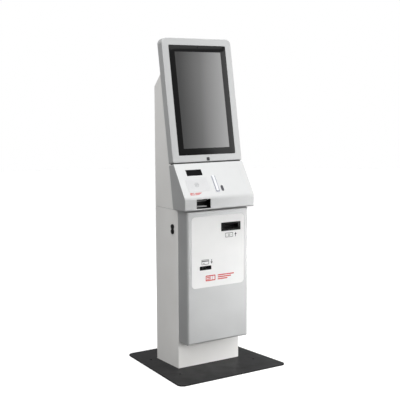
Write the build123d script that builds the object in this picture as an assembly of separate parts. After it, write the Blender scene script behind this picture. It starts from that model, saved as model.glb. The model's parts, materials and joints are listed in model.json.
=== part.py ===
from build123d import *
import math
import os

# Ticket vending machine: a floor-standing self-service kiosk in sheet steel.
# Frame: millimetres, +Z up, front towards -Y, +X to the right of someone facing the front.
# The origin is on the floor, at the centre of the machine's footprint.

# ---- driving dimensions ----
base_front_width = 630.0
base_rear_width = 545.0
base_depth = 595.0
base_thickness = 6.0
base_corner = 30.0
anchor_x = 220.0                 # floor anchor holes, half spacings
anchor_y = 142.0
anchor_hole_radius = 6.0

sheet = 2.0
column_half = 181.0
column_front = -64.0
column_rear = 147.0
cabinet_top = 794.5              # top of the lower cabinet
head_bottom = 796.0              # the upper housing starts here, above a shadow gap
head_shoulder = 1394.0           # where the 45 degree top starts at the rear

fascia_half = 202.0              # monitor housing and console
tilt = 9.7                       # degrees that the screen leans back
lean = math.radians(tilt)
seam_y = -65.0                   # front edge of the seam between console and monitor
seam_z = 1022.0
seam_half_gap = 3.0
fascia_depth = 42.0
monitor_top = 615.0              # measured up the screen from the seam
monitor_corner = 28.0
wall = 2.5                       # wall of the console and monitor housings

glass_width = 333.0
glass_low = 37.0                 # measured up the screen from the seam
glass_high = 579.0
active_width = 268.0             # 21.5 inch panel, upright
active_height = 476.0

console_bottom = 800.0
lip_y = -168.6
lip_top = 858.4
lip_bend = 30.0                  # radius between the lip and the slope
lip_foot_bend = 6.0
slope_tilt = math.degrees(math.atan2(seam_y - lip_y, seam_z - lip_top))

door_half = 178.5
door_front = -148.0
door_back = -65.0
door_bottom = 140.0
door_top = 796.0

hinge_gap = 0.3
running_fit = 0.05               # radial clearance of pins and shafts

os.makedirs("parts", exist_ok=True)


def save(name, *solids):
    """Write one sub-part; several solids make one group."""
    shape = solids[0] if len(solids) == 1 else Compound(children=list(solids))
    shape.label = name
    export_step(shape, f"parts/{name}.step")


def block(x0, x1, y0, y1, z0, z1):
    """Box between two corners."""
    size = (x1 - x0, y1 - y0, z1 - z0)
    return Pos((x0 + x1) / 2, (y0 + y1) / 2, (z0 + z1) / 2) * Box(*size)


def rod_x(radius, x0, x1, y, z):
    """Round bar along X."""
    return Pos((x0 + x1) / 2, y, z) * Rot(0, 90, 0) * Cylinder(radius, x1 - x0)


def rod_y(radius, x, y0, y1, z):
    """Round bar along Y."""
    return Pos(x, (y0 + y1) / 2, z) * Rot(90, 0, 0) * Cylinder(radius, y1 - y0)


def rod_z(radius, x, y, z0, z1):
    """Round bar along Z."""
    return Pos(x, y, (z0 + z1) / 2) * Cylinder(radius, z1 - z0)


def side_profile(points, x0, x1):
    """Polygon of (y, z) points, extruded along X."""
    outline = Plane.YZ * make_face(Polyline(*points, close=True))
    return Pos(x0, 0, 0) * extrude(outline, x1 - x0, dir=(1, 0, 0))


def slab(width, height, y0, y1, x=0.0, z=0.0, corner=0.0):
    """Upright plate facing -Y with rounded corners, centred at x and z."""
    plate = Pos(x, (y0 + y1) / 2, z) * Box(width, y1 - y0, height)
    if corner > 0:
        plate = fillet(plate.edges().filter_by(Axis.Y), corner)
    return plate


def hex_bolt(x, y, seat, head_radius, head, shank_radius, shank):
    """Hexagon bolt standing on z = seat, with its shank below."""
    body = Pos(x, y, seat) * extrude(RegularPolygon(head_radius, 6), head)
    return body + rod_z(shank_radius, x, y, seat - shank, seat)


def back_y(z):
    """Where the back plane of the monitor and console lies at a height."""
    return seam_y + fascia_depth / math.cos(lean) + (z - seam_z) * math.tan(lean)


# Frames for work on the leaning faces: X across, Y into the machine, Z up the face from the seam.
monitor_frame = Location((0, seam_y, seam_z), (-tilt, 0, 0))
slope_frame = Location((0, seam_y, seam_z), (-slope_tilt, 0, 0))

# ---------------------------------------------------------------- base plate
half_front = base_front_width / 2
half_rear = base_rear_width / 2
half_depth = base_depth / 2
base_outline = make_face(Polyline(
    (-half_front, -half_depth), (half_front, -half_depth),
    (half_rear, half_depth), (-half_rear, half_depth), close=True))
base_plate = extrude(fillet(base_outline.vertices(), base_corner), base_thickness)
base_plate = chamfer(base_plate.faces().sort_by(Axis.Z)[-1].edges(), 0.8)
for sx in (-1, 1):
    for sy in (-1, 1):
        base_plate -= rod_z(anchor_hole_radius, sx * anchor_x, sy * anchor_y, -1, base_thickness + 1)

# ---------------------------------------------------------------- lower cabinet
foot_thickness = 3.0
bolt_x = 150.0
bolt_front = -35.0
bolt_rear = 118.0
bolt_radius = 4.0
inner_half = column_half - sheet
rear_inside = column_rear - sheet
foot_top = base_thickness + foot_thickness
column_foot = block(-inner_half, inner_half, column_front + sheet, rear_inside, base_thickness, foot_top)
foot_bolts = []
for bx in (-bolt_x, bolt_x):
    for by in (bolt_front, bolt_rear):
        hole = rod_z(bolt_radius, bx, by, 1.0, foot_top + 1)
        column_foot -= hole
        base_plate -= hole
        foot_bolts.append(hex_bolt(bx, by, foot_top, 7.5, 5.3, bolt_radius, foot_top - 1.2))
save("base_plate", base_plate)
save("column_foot", column_foot)
save("foot_bolts", *foot_bolts)

lock_y = -20.0                   # side lock: centre of the cylinder
lock_z = 710.0
lobe_drop = 24.0                 # the cover's pivot sits this far below
lobe_radius = 12.5
barrel_radius = 9.5

column_left = block(-column_half, -inner_half, column_front, column_rear, base_thickness, cabinet_top)
column_left -= rod_x(barrel_radius, -column_half - 1, -inner_half + 1, lock_y, lock_z)
save("column_left_panel", column_left)
save("column_right_panel",
     block(inner_half, column_half, column_front, column_rear, base_thickness, cabinet_top))

# Front frame: the plinth's face and the opening that the door covers.
frame_left = -166.0              # wide enough for the door's lock hook to swing past
frame_right = 160.0
frame_low = 152.0
frame_high = 778.0
front_frame = block(-inner_half, inner_half, column_front, column_front + sheet, base_thickness, cabinet_top)
front_frame -= block(frame_left, frame_right, column_front - 1, column_front + sheet + 1,
                     frame_low, frame_high)
save("front_frame", front_frame)

# Rear panel with two fields of ventilation slots and the cable gland's hole.
gland_x = -115.0
gland_z = 60.0
gland_radius = 8.0
column_rear_panel = block(-inner_half, inner_half, rear_inside, column_rear, base_thickness, cabinet_top)
for field_z in (150.0, 655.0):
    for row in range(5):
        for slot_x in (-34.0, 0.0, 34.0):
            column_rear_panel -= slab(24, 3.6, rear_inside - 1, column_rear + 1,
                                      slot_x, field_z + 12.0 * row, 1.7)
column_rear_panel -= rod_y(gland_radius, gland_x, rear_inside - 1, column_rear + 1, gland_z)
save("column_rear_panel", column_rear_panel)

cabinet_shelf = block(-inner_half, inner_half, column_front + sheet, rear_inside,
                      cabinet_top, head_bottom)
save("cabinet_shelf", cabinet_shelf)

# Cable gland for the supply lead, closed by its blanking seal, with its lock nut inside.
gland_body = rod_y(gland_radius, gland_x, rear_inside - 14, column_rear + 9, gland_z)
gland_body += Pos(gland_x, column_rear, gland_z) * Rot(-90, 0, 0) * extrude(RegularPolygon(13, 6), 5)
gland_nut = Pos(gland_x, rear_inside - 4.5, gland_z) * Rot(-90, 0, 0) * extrude(RegularPolygon(12, 6), 4.5)
gland_nut -= rod_y(gland_radius, gland_x, rear_inside - 6, rear_inside + 1, gland_z)
save("cable_gland", gland_body, gland_nut)

# Power supply: a closed case with grooves in its lid, on the cabinet's floor.
psu_top = foot_top + 42.0
psu = block(-150, -30, 0, 100, foot_top, psu_top)
for row in range(6):
    groove_x = -140.0 + 18.0 * row
    psu -= block(groove_x, groove_x + 10, 12, 88, psu_top - 3, psu_top + 1)
save("power_supply", psu)

# Cooling fan behind the upper slots.
fan_y0 = rear_inside - 25.0
fan_z = 679.0
fan_half = 40.0
fan_bore = 37.0
fan_frame = slab(2 * fan_half, 2 * fan_half, fan_y0, rear_inside, 0, fan_z, 4)
fan_frame -= rod_y(fan_bore, 0, fan_y0 - 1, rear_inside + 1, fan_z)
fan_hub = rod_y(12, 0, rear_inside - 5, rear_inside, fan_z)
for turn in (45, 135):
    spoke = Box(2 * fan_bore + 1, 3, 4)
    fan_hub += Pos(0, rear_inside - 1.5, fan_z) * Rot(0, turn, 0) * spoke
fan_pin_radius = 2.0
fan_pin = rod_y(fan_pin_radius, 0, fan_y0 + 6, rear_inside - 4, fan_z)
save("fan_frame", fan_frame + fan_hub + fan_pin)
fan_rotor = rod_y(15, 0, fan_y0 + 2, rear_inside - 6, fan_z)
blade_count = 7
for blade in range(blade_count):
    vane = Pos(24, 0, 0) * Rot(35, 0, 0) * Box(22, 14, 1.6)
    fan_rotor += Pos(0, fan_y0 + 11, fan_z) * Rot(0, blade * 360 / blade_count, 0) * vane
fan_rotor -= rod_y(fan_pin_radius + running_fit, 0, fan_y0 + 1, rear_inside, fan_z)
save("fan_rotor", fan_rotor)

# ---------------------------------------------------------------- side lock
skin = -column_half              # outer face of the left panel
plate_face = skin - 2.5


def two_lobes(x0, x1, radius):
    """Plate of two round lobes joined by a waist, facing -X."""
    upper = rod_x(radius, x0, x1, lock_y, lock_z)
    lower = rod_x(radius, x0, x1, lock_y, lock_z - lobe_drop)
    waist = block(x0, x1, lock_y - 8, lock_y + 8, lock_z - lobe_drop, lock_z)
    return upper + lower + waist


cover_pin_radius = 3.0
cover_face = plate_face - 2.7
escutcheon = two_lobes(plate_face, skin, lobe_radius)
escutcheon -= rod_x(barrel_radius, plate_face - 1, skin + 1, lock_y, lock_z)
escutcheon += rod_x(cover_pin_radius, cover_face - 0.2, plate_face, lock_y, lock_z - lobe_drop)
escutcheon += rod_x(5.5, cover_face - 2.0, cover_face - 0.2, lock_y, lock_z - lobe_drop)
lock_cover = two_lobes(cover_face, plate_face - 0.2, lobe_radius - 0.3)
lock_cover -= rod_x(cover_pin_radius + running_fit, cover_face - 1, plate_face, lock_y, lock_z - lobe_drop)
save("lock_cover", lock_cover)

plug_radius = 6.5
barrel_end = -161.0
lock_barrel = rod_x(barrel_radius, plate_face, barrel_end, lock_y, lock_z)
lock_barrel -= rod_x(plug_radius + running_fit, plate_face - 1, barrel_end + 1, lock_y, lock_z)
side_nut = Pos(-inner_half, lock_y, lock_z) * Rot(0, 90, 0) * extrude(RegularPolygon(14, 6), 5)
side_nut -= rod_x(barrel_radius, -inner_half - 1, -inner_half + 6, lock_y, lock_z)
save("lock_escutcheon", escutcheon, lock_barrel, side_nut)
cam_near = -159.0
cam_far = -156.5
cam_reach = 34.0
cam_half = 6.0
lock_plug = rod_x(plug_radius, plate_face + 0.2, cam_near, lock_y, lock_z)
lock_plug -= block(plate_face - 1, plate_face + 9, lock_y - 0.7, lock_y + 0.7, lock_z - 4, lock_z + 4)
lock_cam = block(cam_near, cam_far, lock_y - cam_reach, lock_y, lock_z - cam_half, lock_z + cam_half)
lock_cam += rod_x(cam_half + 1, cam_near, cam_far, lock_y, lock_z)
save("lock_plug", lock_plug, lock_cam)

# ---------------------------------------------------------------- front door
door = slab(2 * door_half, door_top - door_bottom, door_front, door_back,
            0, (door_top + door_bottom) / 2, 4)
door = fillet(door.faces().sort_by(Axis.Y)[0].edges(), 9)
cavity = slab(2 * (door_half - sheet), door_top - door_bottom - 2 * sheet,
              door_front + sheet, door_back + 1, 0, (door_top + door_bottom) / 2, 2.5)
cavity = fillet(cavity.faces().sort_by(Axis.Y)[0].edges(), 7)
door -= cavity

bill_x = 75.5                    # banknote mouth
bill_z = 707.0
bill_flange = (115.0, 42.0)
bill_body = (100.0, 32.0)
card_x = -74.5                   # card outlet
card_z = 513.5
card_flange = (66.5, 20.0)
card_body = (60.0, 14.0)
door -= slab(bill_body[0], bill_body[1], door_front - 1, door_front + 3, bill_x, bill_z, 2)
door -= slab(card_body[0], card_body[1], door_front - 1, door_front + 3, card_x, card_z, 2)
save("front_door", door)

overlay = slab(308, 349, door_front - 0.8, door_front, 0, 591.5, 20)
overlay -= slab(bill_flange[0] + 0.6, bill_flange[1] + 0.6, door_front - 2, door_front + 1, bill_x, bill_z, 3)
overlay -= slab(card_flange[0] + 0.6, card_flange[1] + 0.6, door_front - 2, door_front + 1, card_x, card_z, 3)
save("door_overlay", overlay)

# Banknote mouth: a flange, a funnel to a slot, and a finger notch in its lower lip.
bezel_front = door_front - 3.0
mouth_floor = door_front + 16.0
bill_bezel = slab(bill_flange[0], bill_flange[1], bezel_front, door_front, bill_x, bill_z, 3)
bill_bezel = chamfer(bill_bezel.faces().sort_by(Axis.Y)[0].edges(), 1.2)
bill_bezel += slab(bill_body[0], bill_body[1], door_front, door_front + 20, bill_x, bill_z, 2)
funnel_outline = [(bezel_front - 1, bill_z + 15), (bezel_front, bill_z + 15),
                  (mouth_floor, bill_z + 3.5), (mouth_floor, bill_z - 3.5),
                  (bezel_front, bill_z - 11), (bezel_front - 1, bill_z - 11)]
funnel = side_profile(funnel_outline, bill_x - 42, bill_x + 42)
bill_bezel -= funnel
bill_bezel -= block(bill_x - 40, bill_x + 40, mouth_floor - 1, door_front + 21, bill_z - 3.5, bill_z + 3.5)
bill_bezel -= block(bill_x - 16, bill_x + 16, bezel_front - 1, door_front + 8, bill_z - 16, bill_z - 3)
save("bill_bezel", bill_bezel)

validator_y0 = door_front + 20.0
validator_low = 672.0
validator_top = 742.0
validator = block(bill_x - 47.5, bill_x + 47.5, validator_y0, -40, validator_low, validator_top)
validator = chamfer(validator.edges().filter_by(Axis.X), 3)
save("bill_validator", validator)

# The validator's steel carrier also holds the cash box on two side plates.
carrier_half = 53.5
carrier_top = validator_top + 4.0
carrier_rear = -44.0
carrier = block(bill_x - carrier_half, bill_x + carrier_half, validator_y0, carrier_rear,
                carrier_top - sheet, carrier_top)
for side in (-1, 1):
    plate_x = sorted((bill_x + side * carrier_half, bill_x + side * (carrier_half - 2)))
    ear_x = sorted((bill_x + side * carrier_half, bill_x + side * (carrier_half + 8)))
    carrier += block(*plate_x, validator_y0, carrier_rear, 560, carrier_top - sheet)
    carrier += block(*plate_x, door_front + sheet, validator_y0, 600, 740)
    carrier += block(*ear_x, door_front + sheet, door_front + 2 * sheet, 600, 740)
save("validator_carrier", carrier)
box_rear = -52.0
cash_box = block(bill_x - 45.5, bill_x + 45.5, validator_y0 + 4, box_rear, 566, validator_low - 4)
cash_box = fillet(cash_box.edges().filter_by(Axis.Z), 4)
cash_box += block(bill_x - 20, bill_x + 20, box_rear, box_rear + 12, 596, 616)
cash_box -= block(bill_x - 15, bill_x + 15, box_rear, box_rear + 8, 595, 611)
save("cash_box", cash_box)

# Card outlet, and the dispenser behind it with its magazine.
card_bezel = slab(card_flange[0], card_flange[1], door_front - 2, door_front, card_x, card_z, 2.5)
card_bezel = chamfer(card_bezel.faces().sort_by(Axis.Y)[0].edges(), 0.8)
card_bezel += slab(card_body[0], card_body[1], door_front, door_front + 12, card_x, card_z, 2)
card_bezel -= slab(57, 7, door_front - 3, door_front + 13, card_x, card_z, 1)
save("card_bezel", card_bezel)

dispenser_y0 = door_front + 12.0
dispenser_rear = -34.0
dispenser_half = 36.0
deck_z = 503.0                   # top of the dispenser's deck
magazine_z0 = 534.0
dispenser = block(card_x - dispenser_half, card_x + dispenser_half, dispenser_y0, dispenser_rear,
                  480, deck_z)
for cheek_x in (card_x - dispenser_half, card_x + dispenser_half - 4):
    dispenser += block(cheek_x, cheek_x + 4, dispenser_y0, dispenser_rear, deck_z, magazine_z0)
for foot_x in (card_x - dispenser_half, card_x + dispenser_half - 6):
    dispenser += block(foot_x, foot_x + 6, door_front + sheet, dispenser_y0, 484, deck_z)
roller_y = dispenser_y0 + 12.0
roller_z = deck_z
dispenser -= rod_x(7.5, card_x - 26, card_x + 26, roller_y, roller_z)
dispenser -= rod_x(2.0 + running_fit, card_x - 37, card_x + 37, roller_y, roller_z)
save("card_dispenser", dispenser)
feed = rod_x(2.0, card_x - 35, card_x + 35, roller_y, roller_z)
for tyre_x in (card_x - 20, card_x + 8):
    feed += rod_x(7.0, tyre_x, tyre_x + 12, roller_y, roller_z)
save("card_feed_roller", feed)

magazine_z1 = 664.0
card_y0 = roller_y + 10.0
card_y1 = card_y0 + 85.6
magazine = block(card_x - 30, card_x + 30, card_y0 - 2.5, card_y1 + 2.5, magazine_z0, magazine_z1)
magazine -= block(card_x - 27.6, card_x + 27.6, card_y0 - 0.6, card_y1 + 0.6,
                  magazine_z0 - 1, magazine_z1 + 1)
magazine -= block(card_x - 8, card_x + 8, card_y1 - 5, card_y1 + 5, magazine_z0 - 1, magazine_z1 + 1)
save("card_magazine", magazine)
weight_low = deck_z + 0.4
weight_top = weight_low + 12.6
weight = block(card_x - 26.5, card_x + 26.5, card_y0 + 1, card_y1 - 1, weight_low, weight_top)
weight += block(card_x - 6, card_x + 6, card_y1 - 1, card_y1 + 9, weight_low, weight_top)
save("card_weight", weight)

# Keeper behind the door's left edge: an arm with a welded hook, which the side lock's cam holds.
hook_low = 722.0
hook_high = 742.0
hook_near = -12.7                # the cam stands 1.3 mm in front of the hook
hook_far = -10.2
arm_left = -152.0
arm_right = -150.0
keeper_arm = block(arm_left, arm_right, door_front + 2 * sheet, hook_far, hook_low, hook_high)
keeper_foot = block(arm_left, arm_left + 24, door_front + sheet, door_front + 2 * sheet,
                    hook_low - 8, hook_high + 8)
keeper_hook = block(arm_left - 8, arm_left, hook_near, hook_far, hook_low, hook_high)
save("door_keeper", keeper_arm, keeper_foot, keeper_hook)


def barrel_hinge(axis_x, axis_y, low, radius, pin, fixed_leaf, fixed_bridge, door_leaf, door_bridge):
    """An upright hinge: its fixed leaf with two knuckles, its moving leaf with one, and its pin."""
    third = hinge_length / 3
    top = low + hinge_length
    middle = (low + third, low + 2 * third)
    fixed = block(*fixed_leaf, low, top)
    for z0, z1 in ((low, middle[0] - hinge_gap), (middle[1] + hinge_gap, top)):
        fixed += rod_z(radius, axis_x, axis_y, z0, z1) + block(*fixed_bridge, z0, z1)
    fixed -= rod_z(pin, axis_x, axis_y, low - 1, top + 1)
    moving = block(*door_leaf, low, top)
    moving += rod_z(radius, axis_x, axis_y, *middle) + block(*door_bridge, *middle)
    moving -= rod_z(pin + running_fit, axis_x, axis_y, low - 1, top + 1)
    hinge_rod = rod_z(pin, axis_x, axis_y, low - 2, top + 2)
    hinge_rod += rod_z(pin + 1.2, axis_x, axis_y, top + 0.2, top + 2)
    return fixed, moving, hinge_rod


# ---------------------------------------------------------------- front door hinges
hinge_length = 60.0
hinge_x = 187.0
hinge_y = -64.5
fixed_hinge_solids = []
door_leaves = []
for low in (200.0, 440.0, 680.0):
    fixed, moving, hinge_rod = barrel_hinge(
        hinge_x, hinge_y, low, 4.0, 2.0,
        (column_half, column_half + 2, -61, -30),
        (column_half, hinge_x, hinge_y + 0.5, hinge_y + 3.5),
        (door_half, door_half + 2, -100, -68),
        (door_half, hinge_x, hinge_y - 3.5, hinge_y - 0.5))
    fixed_hinge_solids += [fixed, hinge_rod]
    door_leaves.append(moving)
save("front_hinge_door_leaves", *door_leaves)

# ---------------------------------------------------------------- upper housing
side_outline = [(back_y(head_bottom), head_bottom), (column_rear, head_bottom),
                (column_rear, head_shoulder)]
lean_slope = math.tan(math.radians(tilt))
peak_z = (column_rear + head_shoulder - back_y(0)) / (1 + lean_slope)
side_outline.append((back_y(peak_z), peak_z))
save("head_left_panel", side_profile(side_outline, -column_half, -inner_half))
save("head_right_panel", side_profile(side_outline, inner_half, column_half))

service_half = 148.0
service_low = 842.0
service_high = 1358.0
rear_frame = block(-inner_half, inner_half, rear_inside, column_rear, head_bottom, head_shoulder - 1.5)
rear_frame -= block(-service_half, service_half, rear_inside - 1, column_rear + 1, service_low, service_high)
save("head_rear_frame", rear_frame)

# The sloping top: a 45 degree sheet with ventilation slots.
inner_peak_z = (column_rear + head_shoulder - sheet * math.sqrt(2) - back_y(0)) / (1 + lean_slope)
roof = side_profile([(column_rear, head_shoulder), (back_y(peak_z), peak_z),
                     (back_y(inner_peak_z), inner_peak_z),
                     (column_rear - sheet / math.sqrt(2), head_shoulder - sheet / math.sqrt(2))],
                    -inner_half, inner_half)
roof_frame = Location((0, column_rear, head_shoulder), (45, 0, 0))
for row in range(4):
    for column in range(-3, 4):
        roof -= roof_frame * slab(26, 3.6, -3, 3, column * 36.0, 38 + 13.0 * row, 1.7)
save("head_top_cover", roof)

# ---------------------------------------------------------------- rear service door
rear_door_half = 160.0
rear_door_low = 830.0
rear_door_high = 1370.0
rear_face = column_rear + 13.0
rear_back = column_rear + 0.5
rear_mid = (rear_door_low + rear_door_high) / 2
rear_door = slab(2 * rear_door_half, rear_door_high - rear_door_low, rear_back, rear_face, 0, rear_mid, 4)
rear_door = fillet(rear_door.faces().sort_by(Axis.Y)[-1].edges(), 3)
rear_door -= slab(2 * rear_door_half - 3, rear_door_high - rear_door_low - 3,
                  rear_back - 1, rear_face - 1.5, 0, rear_mid, 2.5)
rear_lock_x = -132.0
rear_lock_z = 1100.0
rear_door -= rod_y(barrel_radius, rear_lock_x, rear_back, rear_face + 1, rear_lock_z)
for row in range(5):
    for slot_x in (-34.0, 0.0, 34.0):
        rear_door -= slab(24, 3.6, rear_face - 3, rear_face + 1, slot_x, 1290 + 12.0 * row, 1.7)
save("rear_door", rear_door)

rear_hinge_x = 165.5
rear_hinge_y = column_rear + 4.0
rear_leaves = []
for low in (880.0, 1260.0):
    fixed, moving, hinge_rod = barrel_hinge(
        rear_hinge_x, rear_hinge_y, low, 3.5, 1.6,
        (rear_hinge_x + 4, column_half, column_rear, column_rear + 1.5),
        (rear_hinge_x, rear_hinge_x + 6, column_rear, column_rear + 2.5),
        (rear_door_half, rear_door_half + 1.5, rear_hinge_y + 1, rear_face - 4),
        (rear_door_half, rear_hinge_x, rear_hinge_y + 0.5, rear_hinge_y + 2.5))
    fixed_hinge_solids += [fixed, hinge_rod]
    rear_leaves.append(moving)
save("rear_hinge_door_leaves", *rear_leaves)
save("fixed_hinge_leaves", *fixed_hinge_solids)

# Rear lock: a cam that turns behind the frame's edge.
rear_barrel_in = rear_inside - 6.0
rear_barrel = rod_y(barrel_radius, rear_lock_x, rear_barrel_in, rear_face, rear_lock_z)
rear_barrel += rod_y(12, rear_lock_x, rear_face, rear_face + 2, rear_lock_z)
rear_barrel -= rod_y(plug_radius + running_fit, rear_lock_x, rear_barrel_in - 1, rear_face + 3, rear_lock_z)
rear_nut = Pos(rear_lock_x, rear_face - 1.5, rear_lock_z) * Rot(90, 0, 0) * extrude(RegularPolygon(14, 6), 5)
rear_nut -= rod_y(barrel_radius, rear_lock_x, rear_face - 8, rear_face, rear_lock_z)
save("rear_lock_barrel", rear_barrel, rear_nut)
rear_cam_near = rear_barrel_in - 4.5
rear_plug = rod_y(plug_radius, rear_lock_x, rear_cam_near, rear_face + 1.8, rear_lock_z)
rear_plug -= block(rear_lock_x - 0.7, rear_lock_x + 0.7, rear_face - 6, rear_face + 3,
                   rear_lock_z - 4, rear_lock_z + 4)
rear_cam = block(rear_lock_x - cam_half, rear_lock_x + cam_half, rear_cam_near, rear_cam_near + 2.5,
                 rear_lock_z, rear_lock_z + 32)
save("rear_lock_plug", rear_plug + rear_cam)

# ---------------------------------------------------------------- console
down_slope = (-math.sin(math.radians(slope_tilt)), -math.cos(math.radians(slope_tilt)))
to_seam = seam_half_gap / math.cos(math.radians(slope_tilt - tilt))


def console_profile(inset):
    """Side outline of the console, moved in by the given wall."""
    top_front = (seam_y + down_slope[0] * to_seam, seam_z + down_slope[1] * to_seam)
    top_rear = (seam_y - seam_half_gap * math.sin(lean) + fascia_depth * math.cos(lean),
                seam_z - seam_half_gap * math.cos(lean) - fascia_depth * math.sin(lean))
    outline = make_face(Plane.YZ * Polyline(
        (back_y(console_bottom), console_bottom), (lip_y, console_bottom), (lip_y, lip_top),
        top_front, top_rear, close=True))
    bend = outline.vertices().sort_by(Axis.Y)[0:2].sort_by(Axis.Z)[-1]
    outline = fillet(bend, lip_bend)
    foot = outline.vertices().sort_by(Axis.Y)[0:2].sort_by(Axis.Z)[0]
    outline = fillet(foot, lip_foot_bend)
    if inset:
        outline = offset(outline, -inset, kind=Kind.INTERSECTION)
    return outline


console = Pos(-fascia_half, 0, 0) * extrude(console_profile(0), 2 * fascia_half, dir=(1, 0, 0))
front_rim = [e for e in console.faces().filter_by(Axis.X).edges() if e.center().Y < back_y(e.center().Z) - 3]
console = fillet(front_rim, 3)
inside_half = fascia_half - wall
console -= Pos(-inside_half, 0, 0) * extrude(console_profile(wall), 2 * inside_half, dir=(1, 0, 0))
rear_window = Pos(0, fascia_depth, 0) * block(-170, 170, -6, 6, -219, -16)
console -= monitor_frame * rear_window

scan_x = -103.0                  # code scanner's window, measured down the slope
scan_s = 54.0
guide_x = -2.0                   # card guide
guide_s = 121.0
guide_size = (24.0, 92.0)
lamp_x = 28.5
lamp_s = 146.5
lamp_size = (9.0, 23.0)
console -= slope_frame * slab(89, 33, -1, wall + 1, scan_x, -scan_s, 2)
console -= slope_frame * slab(guide_size[0], guide_size[1], -1, wall + 1, guide_x, -guide_s, 3)
console -= slope_frame * slab(lamp_size[0], lamp_size[1], -1, wall + 1, lamp_x, -lamp_s, 4.4)
exit_x = -96.0                   # ticket exit in the lip
exit_z = 831.5
exit_size = (80.0, 45.0)
console -= slab(exit_size[0], exit_size[1], lip_y - 1, lip_y + wall + 1, exit_x, exit_z, 1)
save("console_shell", console)

scanner_window = slope_frame * slab(88.4, 32.4, 1.0, 3.0, scan_x, -scan_s, 1.8)
scanner_body = slope_frame * (slab(96, 40, 3.0, 9.0, scan_x, -scan_s, 2)
                              + slab(60, 30, 9.0, 34.0, scan_x, -scan_s, 2))
save("scanner_window", scanner_window)
save("scanner_module", scanner_body)

pad_x = -103.0                   # contactless reader, behind the console's face
pad_s = 119.0
save("contactless_reader", slope_frame * slab(118, 62, wall, wall + 12, pad_x, -pad_s, 3))

guide = slab(guide_size[0] - 0.4, guide_size[1] - 0.4, -0.5, 8, guide_x, -guide_s, 2.8)
guide += slab(guide_size[0] + 6, guide_size[1] + 6, wall, 8, guide_x, -guide_s, 3)
bar_half = 7.0
trough = slab(guide_size[0] - 3, guide_size[1] - 4, -1.5, 5, guide_x, -guide_s + 1, 3)
trough -= slab(2 * bar_half, guide_size[1] - 8, -2, 6, guide_x, -guide_s + 5, 2)
guide -= trough
guide -= block(guide_x - bar_half - 3.2, guide_x - bar_half - 0.6, -2, 7, -guide_s - 38, -guide_s + 42)
guide += slab(2 * bar_half - 1, guide_size[1] - 14, -2.5, 0, guide_x, -guide_s + 1, 3)
save("card_guide", slope_frame * guide)
card_reader = slope_frame * slab(40, 96, 8, 52, guide_x, -guide_s, 3)
save("card_reader", card_reader)
save("status_lamp", slope_frame * slab(lamp_size[0] - 0.3, lamp_size[1] - 0.3, -1.0, 6, lamp_x, -lamp_s, 4.2))

# Ticket mouth behind the lip: a black box open at the front, with a pale paper ledge.
mouth_depth = 30.0
mouth_y0 = lip_y + wall + 0.6
mouth = slab(exit_size[0] + 8, exit_size[1] + 2, mouth_y0, mouth_y0 + mouth_depth, exit_x, exit_z, 1)
mouth -= slab(exit_size[0], exit_size[1] - 2, mouth_y0 - 1, mouth_y0 + mouth_depth - 2, exit_x, exit_z, 1)
mouth -= block(exit_x - 37, exit_x + 37, mouth_y0 + 20, mouth_y0 + mouth_depth + 1, exit_z + 8, exit_z + 14)
save("ticket_mouth", mouth)
save("ticket_ledge", block(exit_x - 33, exit_x + 20, mouth_y0 + 1, mouth_y0 + mouth_depth - 2,
                           exit_z - 14, exit_z - 11))

# ---------------------------------------------------------------- ticket printer
shelf = head_bottom
printer_y0 = mouth_y0 + mouth_depth + 1
printer = block(exit_x - 54, exit_x + 54, printer_y0, -20, shelf + 7, 868)
printer += block(exit_x - 50, exit_x + 50, -52, -24, shelf, shelf + 7)
platen_y = printer_y0 + 14
platen_z = 846.0
printer -= block(exit_x - 42, exit_x + 42, printer_y0 + 4, -72, 836, 869)
printer -= rod_x(2.5 + running_fit, exit_x - 52, exit_x + 52, platen_y, platen_z)
platen = rod_x(6.5, exit_x - 40, exit_x + 40, platen_y, platen_z)
platen += rod_x(2.5, exit_x - 50, exit_x + 50, platen_y, platen_z)
save("platen_roller", platen)
lid_hinge_y = -68.0
lid_hinge_z = 871.0
lid = block(exit_x - 46, exit_x + 46, printer_y0 + 8, lid_hinge_y, 868.3, 870.8)
lid += rod_x(2.6, exit_x - 46, exit_x + 46, lid_hinge_y, lid_hinge_z)
lid -= rod_x(1.2 + running_fit, exit_x - 47, exit_x + 47, lid_hinge_y, lid_hinge_z)
save("printer_lid", lid)
printer += rod_x(1.2, exit_x - 52, exit_x + 52, lid_hinge_y, lid_hinge_z)
for ear_x in (exit_x - 52, exit_x + 48):
    printer += block(ear_x, ear_x + 4, lid_hinge_y - 4, lid_hinge_y + 4, 868, lid_hinge_z + 4)
save("ticket_printer", printer)

roll_y = 62.0
roll_z = 868.0
roll_radius = 55.0
spindle_radius = 6.0
roll = rod_x(roll_radius, exit_x - 39.7, exit_x + 39.7, roll_y, roll_z)
roll -= rod_x(12.5, exit_x - 41, exit_x + 41, roll_y, roll_z)
core = rod_x(12.5, exit_x - 39.7, exit_x + 39.7, roll_y, roll_z)
core -= rod_x(spindle_radius + running_fit, exit_x - 41, exit_x + 41, roll_y, roll_z)
save("paper_roll", roll, core)
bracket = block(exit_x - 45, exit_x + 45, roll_y - 25, roll_y + 25, shelf, shelf + 2)
for cheek_x in (exit_x - 45, exit_x + 43):
    bracket += block(cheek_x, cheek_x + 2, roll_y - 12, roll_y + 12, shelf + 2, roll_z + 12)
bracket -= rod_x(spindle_radius, exit_x - 46, exit_x + 46, roll_y, roll_z)
save("roll_bracket", bracket, rod_x(spindle_radius, exit_x - 47, exit_x + 47, roll_y, roll_z))

# Computer, on the shelf beside the printer.
case_top = shelf + 48.0
computer = block(30, 165, -30, 120, shelf, case_top)
for fin in range(12):
    groove_x = 36.0 + 10.5 * fin
    computer -= block(groove_x, groove_x + 5, -24, 114, case_top - 6, case_top + 1)
save("computer", computer)

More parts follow.
